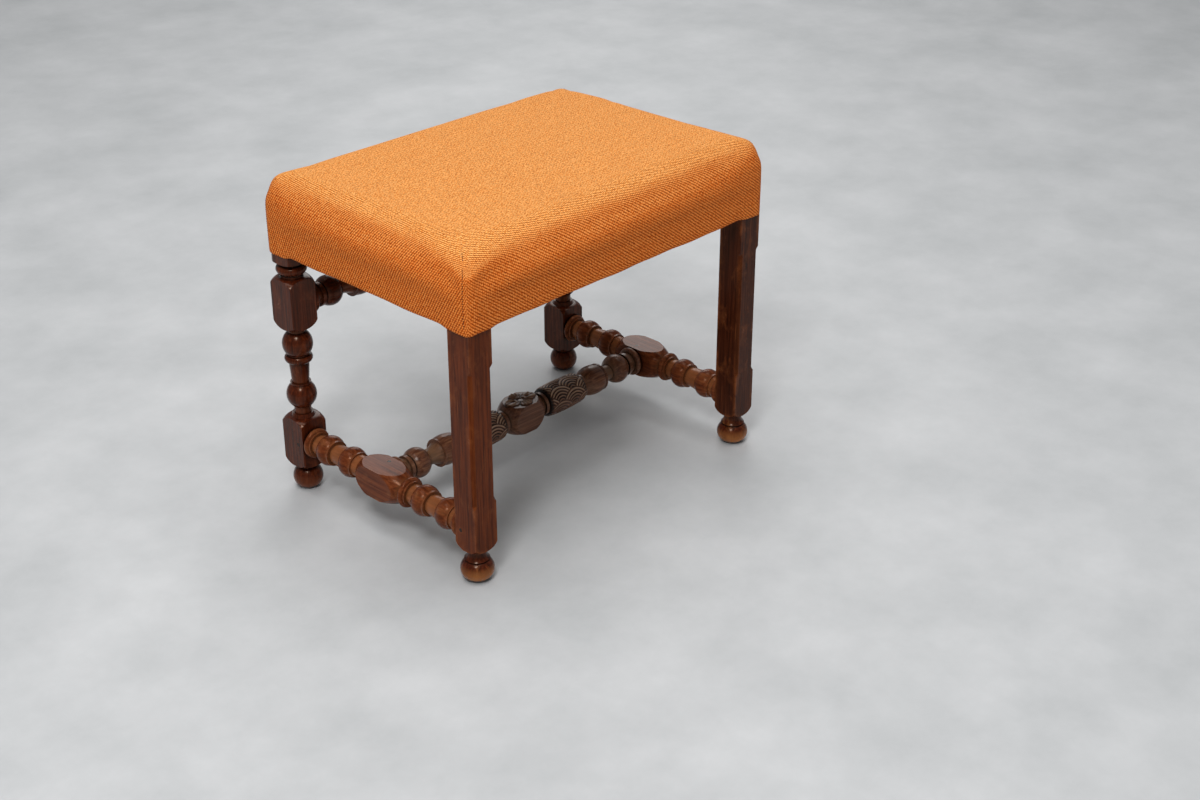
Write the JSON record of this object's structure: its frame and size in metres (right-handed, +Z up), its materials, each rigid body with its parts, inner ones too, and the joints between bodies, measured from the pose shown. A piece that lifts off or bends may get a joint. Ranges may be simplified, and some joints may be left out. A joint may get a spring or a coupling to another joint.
{
  "type": "upholstered stool",
  "caption": "Rectangular upholstered stool with turned front legs, chamfered back posts on ball feet, a turned H stretcher and a woven orange cover.",
  "frame": {"origin": "centre of the footprint, on the floor", "axes": "+Z up, +X along the long side, the turned front legs at -Y"},
  "size_m": [0.5516, 0.3916, 0.449],
  "materials": {
    "walnut": "waxed",
    "rail_wood": "planed",
    "peg_wood": "waxed",
    "webbing": "woven",
    "hessian": "woven",
    "hair": "matted",
    "orange_cloth": "woven"
  },
  "bodies": {
    "root": {"front_leg_left": "walnut", "front_leg_right": "walnut", "back_leg_left": "walnut", "back_leg_right": "walnut", "back_foot_left": "walnut", "back_foot_right": "walnut", "side_stretcher_left": "walnut", "side_stretcher_right": "walnut", "centre_stretcher": "walnut", "front_stretcher": "walnut", "seat_rail_front": "rail_wood", "seat_rail_back": "rail_wood", "seat_rail_left": "rail_wood", "seat_rail_right": "rail_wood", "leg_pegs": "peg_wood", "cross_pegs": "peg_wood", "front_pegs": "peg_wood", "webbing_long_1": "webbing", "webbing_long_2": "webbing", "webbing_long_3": "webbing", "webbing_cross_1": "webbing", "webbing_cross_2": "webbing", "webbing_cross_3": "webbing", "webbing_cross_4": "webbing", "base_hessian": "hessian", "stuffing": "hair", "top_cover": "orange_cloth"}
  },
  "joints": []
}
